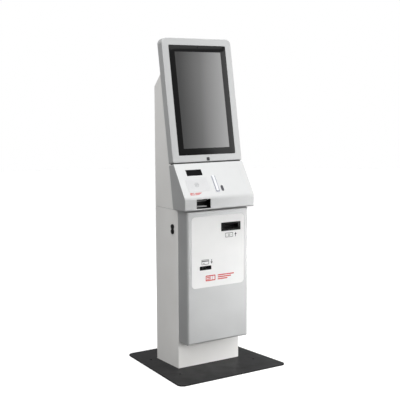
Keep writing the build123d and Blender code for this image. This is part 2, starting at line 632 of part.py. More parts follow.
# ---------------------------------------------------------------- monitor
housing_mid = (seam_half_gap + monitor_top) / 2
housing_height = monitor_top - seam_half_gap
housing = Pos(0, fascia_depth / 2, housing_mid) * Box(2 * fascia_half, fascia_depth, housing_height)
corners = housing.edges().filter_by(Axis.Y).sort_by(Axis.Z)
housing = fillet(corners[-2:], monitor_corner)
corners = housing.edges().filter_by(Axis.Y).sort_by(Axis.Z)
housing = fillet(corners[:2], 6)
housing = fillet(housing.faces().sort_by(Axis.Y)[0].edges(), 3.5)
hollow = Pos(0, wall + fascia_depth / 2, housing_mid) * Box(2 * inside_half, fascia_depth,
                                                          housing_height - 2 * wall)
hollow = fillet(hollow.edges().filter_by(Axis.Y).sort_by(Axis.Z)[-2:], monitor_corner - wall)
hollow = fillet(hollow.edges().filter_by(Axis.Y).sort_by(Axis.Z)[:2], 3.5)
housing -= hollow
glass_mid = (glass_low + glass_high) / 2
glass_height = glass_high - glass_low
housing -= slab(glass_width, glass_height, -1, wall + 1, 0, glass_mid, 6)
camera_s = 569.0
sensor_s = 15.5
sensor_radius = 6.0
housing -= rod_y(sensor_radius, 0, -1, wall + 1, sensor_s)
save("monitor_housing", monitor_frame * housing)

back_cover = Pos(0, fascia_depth - 1, housing_mid) * Box(2 * inside_half, 2, housing_height - 2 * wall)
back_cover = fillet(back_cover.edges().filter_by(Axis.Y).sort_by(Axis.Z)[-2:], monitor_corner - wall)
back_cover = fillet(back_cover.edges().filter_by(Axis.Y).sort_by(Axis.Z)[:2], 3.5)
save("monitor_back_cover", monitor_frame * back_cover)

glass = slab(glass_width - 1.2, glass_height - 1.2, 0.6, 4.6, 0, glass_mid, 5.4)
save("touch_glass", monitor_frame * glass)
mask = slab(glass_width - 1.2, glass_height - 1.2, 4.6, 4.9, 0, glass_mid, 5.4)
mask -= slab(active_width, active_height, 4, 6, 0, glass_mid)
mask -= rod_y(2.0, 0, 4, 6, camera_s)
save("glass_mask", monitor_frame * mask)
display = slab(active_width + 14, active_height + 18, 4.9, 19, 0, glass_mid)
display += slab(150, 240, 19, fascia_depth - 2, 0, glass_mid, 6)
save("display_panel", monitor_frame * display)
camera = rod_y(4.8, 0, 4.9, 14, camera_s)
save("camera_module", monitor_frame * camera)
sensor = rod_y(sensor_radius - 0.1, 0, 0.4, 12, sensor_s) + rod_y(9, 0, wall, 12, sensor_s)
save("presence_sensor", monitor_frame * sensor)
gasket = block(-195, 195, 7, fascia_depth - 5, -seam_half_gap, seam_half_gap)
save("seam_gasket", monitor_frame * gasket)
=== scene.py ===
import json
import math

import bmesh
import bpy
from mathutils import Matrix, Vector

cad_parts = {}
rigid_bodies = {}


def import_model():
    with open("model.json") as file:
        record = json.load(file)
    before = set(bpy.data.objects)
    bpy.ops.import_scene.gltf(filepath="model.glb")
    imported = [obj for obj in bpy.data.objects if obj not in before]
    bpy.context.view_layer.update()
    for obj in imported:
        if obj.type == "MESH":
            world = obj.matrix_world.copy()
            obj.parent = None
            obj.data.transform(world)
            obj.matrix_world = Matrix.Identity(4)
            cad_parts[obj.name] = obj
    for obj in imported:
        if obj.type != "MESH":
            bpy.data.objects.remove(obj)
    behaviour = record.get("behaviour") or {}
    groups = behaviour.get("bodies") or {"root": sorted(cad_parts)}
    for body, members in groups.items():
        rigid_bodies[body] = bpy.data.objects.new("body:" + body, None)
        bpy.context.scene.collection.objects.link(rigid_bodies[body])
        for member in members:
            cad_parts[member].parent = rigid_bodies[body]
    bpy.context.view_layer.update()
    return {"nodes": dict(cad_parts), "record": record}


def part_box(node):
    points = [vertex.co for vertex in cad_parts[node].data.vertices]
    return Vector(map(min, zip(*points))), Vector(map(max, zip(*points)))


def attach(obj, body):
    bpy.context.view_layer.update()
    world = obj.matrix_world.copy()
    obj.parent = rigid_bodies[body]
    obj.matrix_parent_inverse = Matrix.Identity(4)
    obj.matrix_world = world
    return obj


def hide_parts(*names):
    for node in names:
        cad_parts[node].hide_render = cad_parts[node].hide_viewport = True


for leftover in list(bpy.data.objects):
    bpy.data.objects.remove(leftover)
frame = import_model()
nodes = frame["nodes"]
print("frame loaded:", len(nodes), "nodes")

# camera first: eye, aim, small roll
camera = {"eye": (-2.3611, -3.6382, 1.3450), "turn": 32.886, "dip": 6.809, "roll": -0.283, "lens": 78.44}
turn, dip, roll = (math.radians(camera[key]) for key in ("turn", "dip", "roll"))
aim = Vector((math.sin(turn) * math.cos(dip), math.cos(turn) * math.cos(dip), -math.sin(dip)))
flatRight = Vector((math.cos(turn), -math.sin(turn), 0))
flatUp = flatRight.cross(aim)
camRight = flatRight * math.cos(roll) + flatUp * math.sin(roll)
camUp = flatUp * math.cos(roll) - flatRight * math.sin(roll)
camData = bpy.data.cameras.new("studioCamera")
camData.lens = camera["lens"]
camData.sensor_width = 36
camObject = bpy.data.objects.new("studioCamera", camData)
bpy.context.scene.collection.objects.link(camObject)
camTurn = Matrix((camRight, camUp, -aim)).transposed().to_4x4()
camObject.matrix_world = Matrix.Translation(camera["eye"]) @ camTurn
bpy.context.scene.camera = camObject
bpy.context.scene.view_settings.view_transform = "Standard"

# leaning planes of the machine: the screen and the console's slope
screenLean = math.radians(9.7)
slopeLean = math.atan2(0.1036, 0.1636)
screenTurn = Matrix.Rotation(-screenLean, 4, "X")
slopeTurn = Matrix.Rotation(-slopeLean, 4, "X")


def middle(node):
    low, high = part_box(node)
    return (low + high) / 2


# materials
def linear(hexColour):
    parts = [int(hexColour[i:i + 2], 16) / 255 for i in (1, 3, 5)]
    return (*(c / 12.92 if c <= 0.04045 else ((c + 0.055) / 1.055) ** 2.4 for c in parts), 1)


def addNode(tree, kind, settings=None, inputs=None):
    node = tree.nodes.new(kind)
    for name, value in (settings or {}).items():
        setattr(node, name, value)
    for name, value in (inputs or {}).items():
        if isinstance(value, bpy.types.NodeSocket):
            tree.links.new(value, node.inputs[name])
        else:
            node.inputs[name].default_value = value
    return node


def newMaterial(name):
    material = bpy.data.materials.new(name)
    material.use_nodes = True
    material.node_tree.nodes.clear()
    return material, material.node_tree


def closeMaterial(tree, settings):
    shader = addNode(tree, "ShaderNodeBsdfPrincipled", None, settings)
    addNode(tree, "ShaderNodeOutputMaterial", None, {"Surface": shader.outputs[0]})


# A finish with a fine grain and a slow drift in colour; sizes in millimetres
def grainedFinish(name, facts):
    material, tree = newMaterial(name)
    place = addNode(tree, "ShaderNodeTexCoord").outputs["Object"]
    if "stretch" in facts:
        place = addNode(tree, "ShaderNodeMapping", None,
                        {"Vector": place, "Scale": facts["stretch"]}).outputs[0]
    grain = addNode(tree, "ShaderNodeTexNoise", None,
                    {"Vector": place, "Scale": 1000 / facts["grain"], "Detail": 2.0}).outputs[0]
    drift = addNode(tree, "ShaderNodeTexNoise", None,
                    {"Vector": place, "Scale": 1000 / facts["drift"], "Detail": 3.0}).outputs[0]
    blend = addNode(tree, "ShaderNodeMath", {"operation": "MULTIPLY_ADD"},
                    {0: grain, 1: facts["speck"], 2: drift}).outputs[0]
    colour = addNode(tree, "ShaderNodeValToRGB", None, {"Fac": blend})
    colour.color_ramp.elements[0].position = 0.3
    colour.color_ramp.elements[0].color = linear(facts["dark"])
    colour.color_ramp.elements[1].position = 0.7 + facts["speck"]
    colour.color_ramp.elements[1].color = linear(facts["light"])
    gloss = addNode(tree, "ShaderNodeMapRange", None,
                    {"Value": drift, "From Min": 0.3, "From Max": 0.7,
                     "To Min": facts["rough"][0], "To Max": facts["rough"][1]}).outputs[0]
    bump = addNode(tree, "ShaderNodeBump", None,
                   {"Height": grain, "Strength": facts["relief"],
                    "Distance": facts["depth"] / 1000}).outputs[0]
    closeMaterial(tree, {"Base Color": colour.outputs[0], "Roughness": gloss, "Normal": bump,
                         **facts.get("shader", {})})
    return material


finishes = {}
# Polyester powder coat on folded steel: light warm grey, satin, a faint orange peel
finishes["grey_powder_coat"] = grainedFinish("lightGreyPowderCoat", {
    "dark": "#e8e7e4", "light": "#eeedeb", "grain": 2.2, "drift": 160, "speck": 0.1,
    "rough": (0.42, 0.5), "relief": 0.12, "depth": 0.05})
# Silver metallic lacquer: fine flakes that lift the faces turned to the light
finishes["silver_paint"] = grainedFinish("silverMetallicLacquer", {
    "dark": "#c6c7c7", "light": "#cecfcf", "grain": 1.4, "drift": 140, "speck": 0.25,
    "rough": (0.44, 0.5), "relief": 0.06, "depth": 0.03,
    "shader": {"Metallic": 0.62, "Coat Weight": 0.1, "Coat Roughness": 0.3}})
# Textured black powder coat on steel plate: coarse, matt, picks up pale reflections
finishes["black_powder_coat"] = grainedFinish("blackTexturedPowderCoat", {
    "dark": "#121213", "light": "#1b1b1c", "grain": 1.6, "drift": 90, "speck": 0.5,
    "rough": (0.44, 0.56), "relief": 0.35, "depth": 0.12, "shader": {"Specular IOR Level": 0.2}})
# Zinc plated steel: cool grey with a cloudy drift
finishes["zinc_plate"] = grainedFinish("zincPlatedSteel", {
    "dark": "#9c9fa2", "light": "#bfc2c4", "grain": 3.0, "drift": 24, "speck": 0.2,
    "rough": (0.28, 0.42), "relief": 0.05, "depth": 0.03, "shader": {"Metallic": 1.0}})
# Die cast zinc with a black finish: slightly pebbled
finishes["black_zinc"] = grainedFinish("blackFinishedDieCastZinc", {
    "dark": "#0e0e0f", "light": "#1b1b1c", "grain": 1.2, "drift": 18, "speck": 0.3,
    "rough": (0.3, 0.42), "relief": 0.2, "depth": 0.05, "shader": {"Metallic": 0.3}})
# Nickel plated brass: bright, with turning marks
finishes["plated_lock"] = grainedFinish("nickelPlatedBrass", {
    "dark": "#b5b2ab", "light": "#d0cdc6", "grain": 0.8, "drift": 8, "speck": 0.2,
    "rough": (0.16, 0.26), "relief": 0.06, "depth": 0.02, "shader": {"Metallic": 1.0}})
# Anodised aluminium: even grey, a fine drawn grain along X
finishes["aluminium_case"] = grainedFinish("anodisedAluminium", {
    "dark": "#8f9294", "light": "#a9acae", "grain": 1.2, "drift": 40, "speck": 0.3,
    "rough": (0.32, 0.42), "relief": 0.1, "depth": 0.03, "stretch": (0.06, 1, 1),
    "shader": {"Metallic": 1.0}})
# Moulded nylon: near black, dull
finishes["nylon_black"] = grainedFinish("mouldedNylon", {
    "dark": "#101011", "light": "#1c1c1d", "grain": 0.9, "drift": 20, "speck": 0.3,
    "rough": (0.45, 0.58), "relief": 0.2, "depth": 0.04})
# Moulded black ABS: spark-eroded grain that scatters the highlights
finishes["black_abs"] = grainedFinish("mouldedBlackAbs", {
    "dark": "#050506", "light": "#0e0e0f", "grain": 0.9, "drift": 26, "speck": 0.35,
    "rough": (0.32, 0.42), "relief": 0.22, "depth": 0.05, "shader": {"Specular IOR Level": 0.14}})
# Moulded pale grey ABS
finishes["pale_abs"] = grainedFinish("mouldedPaleGreyAbs", {
    "dark": "#a9aaa9", "light": "#bcbdbc", "grain": 0.9, "drift": 30, "speck": 0.3,
    "rough": (0.4, 0.5), "relief": 0.18, "depth": 0.04})
# Moulded white ABS: smooth, a low gloss
finishes["white_abs"] = grainedFinish("mouldedWhiteAbs", {
    "dark": "#e2e4e8", "light": "#ecedf0", "grain": 1.0, "drift": 30, "speck": 0.1,
    "rough": (0.24, 0.32), "relief": 0.05, "depth": 0.03})
# White polyester overlay film: hard, matt, a leather-fine emboss
finishes["white_film"] = grainedFinish("embossedPolyesterFilm", {
    "dark": "#ebebea", "light": "#f3f3f2", "grain": 0.7, "drift": 180, "speck": 0.06,
    "rough": (0.4, 0.48), "relief": 0.1, "depth": 0.02})
# Nitrile and silicone rubber: black, dry
finishes["rubber_black"] = grainedFinish("mouldedRubber", {
    "dark": "#0b0b0b", "light": "#171717", "grain": 1.0, "drift": 12, "speck": 0.4,
    "rough": (0.6, 0.75), "relief": 0.3, "depth": 0.05})
# Thermal paper: slightly warm, with a fibre grain
finishes["thermal_paper"] = grainedFinish("thermalPaper", {
    "dark": "#eeece4", "light": "#f7f5ef", "grain": 1.1, "drift": 14, "speck": 0.3,
    "rough": (0.6, 0.75), "relief": 0.2, "depth": 0.03, "stretch": (1, 1, 0.3)})
# Black ink behind toughened glass: deep and even under a clear gloss
finishes["black_ink"] = grainedFinish("blackPrintedGlass", {
    "dark": "#060607", "light": "#0b0b0c", "grain": 4.0, "drift": 120, "speck": 0.1,
    "rough": (0.1, 0.13), "relief": 0.02, "depth": 0.02, "shader": {"Specular IOR Level": 0.3}})
finishes["cover_glass"] = finishes["black_ink"]
# Grey silicone strip in the seam under the monitor: matt, a little lighter than rubber
finishes["rubber_grey"] = grainedFinish("extrudedGreySilicone", {
    "dark": "#3b3b3a", "light": "#454544", "grain": 1.2, "drift": 30, "speck": 0.2,
    "rough": (0.6, 0.7), "relief": 0.12, "depth": 0.03})
# Polished black ABS: the lips and rims that catch the light
finishes["black_gloss"] = grainedFinish("polishedBlackAbs", {
    "dark": "#0a0a0b", "light": "#131314", "grain": 2.0, "drift": 12, "speck": 0.1,
    "rough": (0.12, 0.18), "relief": 0.03, "depth": 0.02})
# Coated scanner window: almost no reflection, so that it reads as a dark opening
finishes["scanner_glass"] = grainedFinish("antiReflectionWindow", {
    "dark": "#030304", "light": "#060608", "grain": 3.0, "drift": 30, "speck": 0.1,
    "rough": (0.08, 0.12), "relief": 0.02, "depth": 0.02, "shader": {"Specular IOR Level": 0.06}})
# Smoked acrylic: almost black, a violet tint, polished
finishes["smoked_lens"] = grainedFinish("smokedAcrylic", {
    "dark": "#120f22", "light": "#221c38", "grain": 2.0, "drift": 6, "speck": 0.2,
    "rough": (0.1, 0.16), "relief": 0.03, "depth": 0.02,
    "shader": {"Coat Weight": 1.0, "Coat Roughness": 0.05}})
# Screen-printed inks: flat, a little duller than the film they stand on
finishes["grey_print"] = grainedFinish("greyScreenPrint", {
    "dark": "#262628", "light": "#343436", "grain": 0.8, "drift": 20, "speck": 0.3,
    "rough": (0.4, 0.5), "relief": 0.1, "depth": 0.02})
finishes["red_print"] = grainedFinish("redScreenPrint", {
    "dark": "#bf2320", "light": "#d0332c", "grain": 0.8, "drift": 20, "speck": 0.3,
    "rough": (0.36, 0.46), "relief": 0.1, "depth": 0.02})
finishes["ring_print"] = grainedFinish("midGreyScreenPrint", {
    "dark": "#8d8f92", "light": "#9a9c9f", "grain": 0.8, "drift": 20, "speck": 0.3,
    "rough": (0.4, 0.5), "relief": 0.1, "depth": 0.02})
finishes["pale_print"] = grainedFinish("paleGreyScreenPrint", {
    "dark": "#cbcccd", "light": "#d5d5d6", "grain": 0.8, "drift": 40, "speck": 0.2,
    "rough": (0.4, 0.5), "relief": 0.1, "depth": 0.02})
# Painted groove shade on white plastic: dull, a cold grey
finishes["painted_groove_shade"] = grainedFinish("paintedGrooveShadeOnAbs", {
    "dark": "#7f8193", "light": "#8e90a0", "grain": 1.0, "drift": 20, "speck": 0.2,
    "rough": (0.45, 0.55), "relief": 0.1, "depth": 0.02})
# Dark anodised ring round the camera lens: a thin metallic gleam
finishes["lens_ring"] = grainedFinish("darkAnodisedRing", {
    "dark": "#1d1e21", "light": "#2a2b2f", "grain": 1.0, "drift": 4, "speck": 0.2,
    "rough": (0.25, 0.35), "relief": 0.05, "depth": 0.02, "shader": {"Metallic": 1.0}})
# Smoked polycarbonate round the lamp: near black with a cold tint
finishes["lamp_shade"] = grainedFinish("smokedPolycarbonate", {
    "dark": "#14151f", "light": "#1d1e2b", "grain": 2.0, "drift": 8, "speck": 0.1,
    "rough": (0.14, 0.2), "relief": 0.02, "depth": 0.02, "shader": {"Specular IOR Level": 0.35}})


# The display's film under the glass: a painted reflection, plain grey and brightening to the right where the
# studio lights stand
def paintedReflectionFilm(width):
    material, tree = newMaterial("displayFilmUnderGlass")
    place = addNode(tree, "ShaderNodeTexCoord").outputs["Object"]
    across = addNode(tree, "ShaderNodeSeparateXYZ", None, {"Vector": place})
    slant = addNode(tree, "ShaderNodeMath", {"operation": "MULTIPLY_ADD"},
                    {0: across.outputs["Z"], 1: -0.06, 2: across.outputs["X"]}).outputs[0]
    centre = -0.075
    share = addNode(tree, "ShaderNodeMapRange", None,
                    {"Value": slant, "From Min": centre - width / 2,
                     "From Max": centre + width / 2}).outputs[0]
    ramp = addNode(tree, "ShaderNodeValToRGB", None, {"Fac": share})
    # painted reflection: dark grey on the left rising to light grey on the right
    ramp.color_ramp.elements[0].color = linear("#404040")
    ramp.color_ramp.elements[1].color = linear("#9c9c9c")
    ramp.color_ramp.elements.new(0.45).color = linear("#626262")
    fine = addNode(tree, "ShaderNodeTexNoise", None, {"Vector": place, "Scale": 900.0}).outputs[0]
    gloss = addNode(tree, "ShaderNodeMapRange", None,
                    {"Value": fine, "To Min": 0.12, "To Max": 0.17}).outputs[0]
    closeMaterial(tree, {"Base Color": ramp.outputs[0], "Roughness": gloss})
    return material


finishes["display_film"] = paintedReflectionFilm(0.268)
slotOf = {row["node"]: row["material_slot"] for row in frame["record"]["subparts"]}
ownFinish = {"scanner_window": "scanner_glass", "seam_gasket": "rubber_grey"}
for name, node in nodes.items():
    node.data.materials.clear()
    node.data.materials.append(finishes[ownFinish.get(name, slotOf[name])])
print("materials made:", len(finishes))


# modelling helpers
def pick(piece):
    bpy.ops.object.select_all(action="DESELECT")
    piece.select_set(True)
    bpy.context.view_layer.objects.active = piece


def startBox(name, low, high):
    bpy.ops.object.select_all(action="DESELECT")
    low, high = Vector(low), Vector(high)
    bpy.ops.mesh.primitive_cube_add(size=1, location=(low + high) / 2, scale=high - low)
    piece = bpy.context.object
    piece.name = name
    bpy.ops.object.transform_apply()
    return piece


def startRod(name, radius, start, end, sides=32):
    bpy.ops.object.select_all(action="DESELECT")
    start, end = Vector(start), Vector(end)
    turnTo = (end - start).to_track_quat("Z", "Y").to_euler()
    bpy.ops.mesh.primitive_cylinder_add(vertices=sides, radius=radius, depth=(end - start).length,
                                        location=(start + end) / 2, rotation=turnTo)
    piece = bpy.context.object
    piece.name = name
    bpy.ops.object.transform_apply()
    return piece


# Bevels the edges whose middle and direction pass the test
def roundEdges(piece, radius, steps, test):
    pick(piece)
    bpy.ops.object.mode_set(mode="EDIT")
    bpy.ops.mesh.select_all(action="DESELECT")
    bpy.ops.mesh.select_mode(type="EDGE")
    mesh = bmesh.from_edit_mesh(piece.data)
    for edge in mesh.edges:
        a, b = edge.verts[0].co, edge.verts[1].co
        edge.select_set(test((a + b) / 2, (b - a).normalized()))
    bmesh.update_edit_mesh(piece.data)
    bpy.ops.mesh.bevel(offset=radius, segments=steps, affect="EDGES")
    bpy.ops.object.mode_set(mode="OBJECT")


# Selects the faces that pass the test and leaves the piece in edit mode
def pickFaces(piece, test):
    pick(piece)
    bpy.ops.object.mode_set(mode="EDIT")
    bpy.ops.mesh.select_all(action="DESELECT")
    bpy.ops.mesh.select_mode(type="FACE")
    mesh = bmesh.from_edit_mesh(piece.data)
    for face in mesh.faces:
        face.select_set(test(face.calc_center_median(), face.normal))
    bmesh.update_edit_mesh(piece.data)


def cutAway(piece, cutter):
    pick(piece)
    cut = piece.modifiers.new("cut", "BOOLEAN")
    cut.operation = "DIFFERENCE"
    cut.solver = "EXACT"
    cut.object = cutter
    bpy.ops.object.modifier_apply(modifier="cut")
    bpy.data.objects.remove(cutter)


def joinAll(name, parts):
    bpy.ops.object.select_all(action="DESELECT")
    for part in parts:
        part.select_set(True)
    bpy.context.view_layer.objects.active = parts[0]
    if len(parts) > 1:
        bpy.ops.object.join()
    parts[0].name = name
    return parts[0]


def putAt(piece, spot, turned=None):
    piece.data.transform(Matrix.Translation(spot) @ (turned or Matrix.Identity(4)))
    return piece


def finishPiece(piece, body, slot, finish=None, stands=(), smooth=35):
    pick(piece)
    bpy.ops.object.shade_smooth_by_angle(angle=math.radians(smooth))
    if finish is not None or not piece.data.materials:
        piece.data.materials.clear()
        piece.data.materials.append(finishes[finish or slot])
    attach(piece, body)
    if stands:
        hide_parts(*stands)
    return piece


def alongX(point, way):
    return abs(way.x) > 0.99


def alongY(point, way):
    return abs(way.y) > 0.99


def alongZ(point, way):
    return abs(way.z) > 0.99


# lights and floor
studio = {"floor": 12.0, "dark": 0.12, "bright": 0.5, "from": (0.1, -0.35, 0.93), "zenith": 1.36, "boxes": {
    "keyBox": {"place": (2.02, -1.66, 1.3), "aim": (0.1, 0, 1.2), "size": (1.6, 2.4), "light": 1.62},
    "fillBox": {"place": (-2.1, -1.6, 2.05), "aim": (0, 0, 1.1), "size": (1.6, 1.4), "light": 3.0},
    "lowBox": {"place": (1.95, -1.5, 0.6), "aim": (0, -0.1, 0.12), "size": (0.9, 0.5), "light": 1.5,
               "spread": 40},
    "topBox": {"place": (0.9, -0.9, 3.5), "aim": (0.1, -0.1, 0), "size": (3.0, 3.0), "light": 0.9},
    "backBox": {"place": (-0.5, 3.0, 1.7), "aim": (0, 0.1, 0.9), "size": (1.6, 2.0), "light": 1.1},
    "rimBox": {"place": (2.9, 2.4, 1.1), "aim": (0.1, -0.1, 0.2), "size": (1.0, 1.0), "light": 1.0}}}
bpy.ops.object.select_all(action="DESELECT")
bpy.ops.mesh.primitive_circle_add(vertices=128, radius=studio["floor"], fill_type="NGON")
floor = bpy.context.object
floor.name = "studio_floor"
floorMaterial, floorTree = newMaterial("paleStudioFloor")
floorPlace = addNode(floorTree, "ShaderNodeTexCoord").outputs["Object"]
floorDrift = addNode(floorTree, "ShaderNodeTexNoise", None, {"Vector": floorPlace, "Scale": 0.8})
floorRough = addNode(floorTree, "ShaderNodeMapRange", None,
                     {"Value": floorDrift.outputs[0], "To Min": 0.7, "To Max": 0.8}).outputs[0]
closeMaterial(floorTree, {"Base Color": linear("#fdfdfd"), "Roughness": floorRough,
                          "Emission Color": (1, 1, 1, 1), "Emission Strength": 0.06})
floor.data.materials.append(floorMaterial)
floor.visible_diffuse = False
floor.visible_glossy = False

world = bpy.data.worlds.new("softStudio")
bpy.context.scene.world = world
world.use_nodes = True
sky = world.node_tree
sky.nodes.clear()
way = addNode(sky, "ShaderNodeTexCoord").outputs["Generated"]
towards = addNode(sky, "ShaderNodeVectorMath", {"operation": "DOT_PRODUCT"},
                  {0: way, 1: Vector(studio["from"]).normalized()}).outputs["Value"]
glow = addNode(sky, "ShaderNodeMapRange", {"interpolation_type": "SMOOTHSTEP"},
               {"Value": towards, "From Min": -0.8, "From Max": 1.0,
                "To Min": studio["dark"], "To Max": studio["bright"]}).outputs[0]
height = addNode(sky, "ShaderNodeSeparateXYZ", None, {"Vector": way}).outputs["Z"]
overhead = addNode(sky, "ShaderNodeMapRange", {"interpolation_type": "SMOOTHSTEP"},
                   {"Value": height, "From Min": 0.5, "From Max": 1.0,
                    "To Max": studio["zenith"]}).outputs[0]
dome = addNode(sky, "ShaderNodeMath", {"operation": "ADD"}, {0: glow, 1: overhead}).outputs[0]
domeLight = addNode(sky, "ShaderNodeBackground", None, {"Color": (1, 1, 1, 1), "Strength": dome})
plainWhite = addNode(sky, "ShaderNodeBackground", None, {"Color": (1, 1, 1, 1), "Strength": 1.0})
seen = addNode(sky, "ShaderNodeLightPath").outputs["Is Camera Ray"]
shown = addNode(sky, "ShaderNodeMixShader", None,
                {0: seen, 1: domeLight.outputs[0], 2: plainWhite.outputs[0]})
addNode(sky, "ShaderNodeOutputWorld", None, {"Surface": shown.outputs[0]})

for name, softbox in studio["boxes"].items():
    lampData = bpy.data.lights.new(name, "AREA")
    lampData.shape = "RECTANGLE"
    lampData.size, lampData.size_y = softbox["size"]
    lampData.energy = softbox["light"] * math.pi * lampData.size * lampData.size_y
    lampData.spread = math.radians(softbox.get("spread", 180))
    lamp = bpy.data.objects.new(name, lampData)
    bpy.context.scene.collection.objects.link(lamp)
    lamp.location = softbox["place"]
    lampWay = Vector(softbox["aim"]) - Vector(softbox["place"])
    lamp.rotation_euler = lampWay.to_track_quat("-Z", "Y").to_euler()
print("studio set up")

# printed glass over the display
glassFacts = {"border": 0.0054, "active": (0.268, 0.476), "edge": 0.0006,
              "size": (0.3318, 0.5408, 0.004)}
gx, gz, gy = (value / 2 for value in glassFacts["size"])
ax, az = (value / 2 for value in glassFacts["active"])
glass = startBox("screen_glass", (-gx, -gy, -gz), (gx, gy, gz))
roundEdges(glass, glassFacts["border"], 6, alongY)
roundEdges(glass, glassFacts["edge"], 2, lambda p, w: abs(p.y + gy) < 1e-5 and abs(w.y) < 0.5)
for spot, normal in (((-ax, 0, 0), (1, 0, 0)), ((ax, 0, 0), (1, 0, 0)),
                     ((0, 0, -az), (0, 0, 1)), ((0, 0, az), (0, 0, 1))):
    pickFaces(glass, lambda p, n: n.y < -0.99)
    bpy.ops.mesh.bisect(plane_co=spot, plane_no=normal)
    bpy.ops.object.mode_set(mode="OBJECT")
glass.data.materials.append(finishes["black_ink"])
glass.data.materials.append(finishes["display_film"])
pickFaces(glass, lambda p, n: n.y < -0.99 and abs(p.x) < ax and abs(p.z) < az)
glass.active_material_index = 1
bpy.ops.object.material_slot_assign()
bpy.ops.object.mode_set(mode="OBJECT")
putAt(glass, middle("touch_glass"), screenTurn)
finishPiece(glass, "cabinet", "cover_glass", None, ["touch_glass", "glass_mask"], 30)
print("screen glass made")

# folded column and upper housing
wrapFacts = {"sheet": 0.002, "bend": 0.0022, "opening": ((-0.166, 0.152), (0.160, 0.778)),
             "lock": (-0.020, 0.710), "lockHole": 0.0095, "glandHole": 0.008,
             "ventLow": (0.150, 0.655), "ventSize": (0.024, 0.0036), "ventX": (-0.034, 0.0, 0.034),
             "ventRows": 5, "ventStep": 0.012, "reach": 0.01}


# One cutter with rows of small slots in a plate that faces Y
def slotCutter(rows, columns, size, reach):
    slots = []
    for row in rows:
        for column in columns:
            x, z, y = size[0] / 2, size[1] / 2, reach
            one = startBox("slot", (column - x, -y, row - z), (column + x, y, row + z))
            roundEdges(one, size[1] * 0.46, 3, alongY)
            slots.append(one)
    return joinAll("slots", slots)


through = wrapFacts["reach"]
leftLow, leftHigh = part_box("column_left_panel")
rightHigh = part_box("column_right_panel")[1]
column = startBox("column_wrap", leftLow, rightHigh)
roundEdges(column, wrapFacts["bend"], 4, alongZ)
inner = Vector((wrapFacts["sheet"], wrapFacts["sheet"], -0.05))
cutAway(column, startBox("hollow", leftLow + inner, rightHigh - inner))
(x0, z0), (x1, z1) = wrapFacts["opening"]
cutAway(column, startBox("doorway", (x0, leftLow.y - through, z0), (x1, leftLow.y + through, z1)))
lockY, lockZ = wrapFacts["lock"]
cutAway(column, startRod("lockHole", wrapFacts["lockHole"], (leftLow.x - through, lockY, lockZ),
                         (leftLow.x + through, lockY, lockZ)))
gland = middle("cable_gland")
cutAway(column, startRod("glandHole", wrapFacts["glandHole"], (gland.x, leftHigh.y - through, gland.z),
                         (gland.x, leftHigh.y + through, gland.z)))
for ventLow in wrapFacts["ventLow"]:
    rows = [ventLow + wrapFacts["ventStep"] * row for row in range(wrapFacts["ventRows"])]
    vents = slotCutter(rows, wrapFacts["ventX"], wrapFacts["ventSize"], through)
    cutAway(column, putAt(vents, (0, leftHigh.y, 0)))
finishPiece(column, "cabinet", "grey_powder_coat", None,
            ["column_left_panel", "column_right_panel", "front_frame", "column_rear_panel"])
print("column made")

headFacts = {"sheet": 0.002, "bend": 0.0022, "shoulder": 1.394, "door": (0.148, 0.842, 1.358),
             "seam": (0, -0.065, 1.022), "behindScreen": 0.042, "ventSize": (0.026, 0.0036),
             "ventStep": 0.036, "ventUp": (0.038, 0.051, 0.064, 0.077), "ventReach": 0.006}
headLow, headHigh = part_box("head_left_panel")
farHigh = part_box("head_right_panel")[1]
head = startBox("head_wrap", (headLow.x, headLow.y - 0.06, headLow.z),
                (farHigh.x, headHigh.y, headHigh.z + 0.01))
seam = Vector(headFacts["seam"])
backStart = seam + Vector((0, headFacts["behindScreen"] / math.cos(screenLean), 0))
screenNormal = Vector((0, math.cos(screenLean), -math.sin(screenLean)))
roofStart = Vector((0, headHigh.y, headFacts["shoulder"]))
for start, normal in ((backStart, screenNormal), (roofStart, Vector((0, -1, -1)).normalized())):
    pick(head)
    bpy.ops.object.mode_set(mode="EDIT")
    bpy.ops.mesh.select_all(action="SELECT")
    bpy.ops.mesh.bisect(plane_co=start, plane_no=normal, use_fill=True, clear_inner=True)
    bpy.ops.object.mode_set(mode="OBJECT")
frontFace = lambda p, n: n.dot(screenNormal) < -0.99
underFace = lambda p, n: n.z < -0.99
roundEdges(head, headFacts["bend"], 4, lambda p, w: (alongX(p, w) and p.y > 0.1 and p.z > 1.0)
           or (alongZ(p, w) and p.y > 0.1) or (abs(w.y) > 0.6 and abs(w.z) > 0.6))
pickFaces(head, lambda p, n: frontFace(p, n) or underFace(p, n))
bpy.ops.mesh.delete(type="FACE")
bpy.ops.object.mode_set(mode="OBJECT")
wall = head.modifiers.new("wall", "SOLIDIFY")
wall.thickness = headFacts["sheet"]
wall.offset = -1
pick(head)
bpy.ops.object.modifier_apply(modifier="wall")
half, low, high = headFacts["door"]
cutAway(head, startBox("service", (-half, headHigh.y - through, low), (half, headHigh.y + through, high)))
roofVents = slotCutter(headFacts["ventUp"], [headFacts["ventStep"] * place for place in range(-3, 4)],
                       headFacts["ventSize"], headFacts["ventReach"])
putAt(roofVents, roofStart, Matrix.Rotation(math.radians(45), 4, "X"))
cutAway(head, roofVents)
finishPiece(head, "cabinet", "grey_powder_coat", None,
            ["head_left_panel", "head_right_panel", "head_rear_frame", "head_top_cover"])
print("upper housing made")


# A flat bar facing -Y at the origin, rounded at its corners, or a frame where hollow is its width
def printBar(size, corner, thick, hollow=0.0):
    x, z = size[0] / 2, size[1] / 2
    bar = startBox("print", (-x, -thick / 2, -z), (x, thick / 2, z))
    if corner:
        roundEdges(bar, corner, 6, alongY)
    if hollow:
        inside = startBox("inside", (-x + hollow, -thick, -z + hollow), (x - hollow, thick, z - hollow))
        if corner > hollow:
            roundEdges(inside, corner - hollow, 6, alongY)
        cutAway(bar, inside)
    return bar


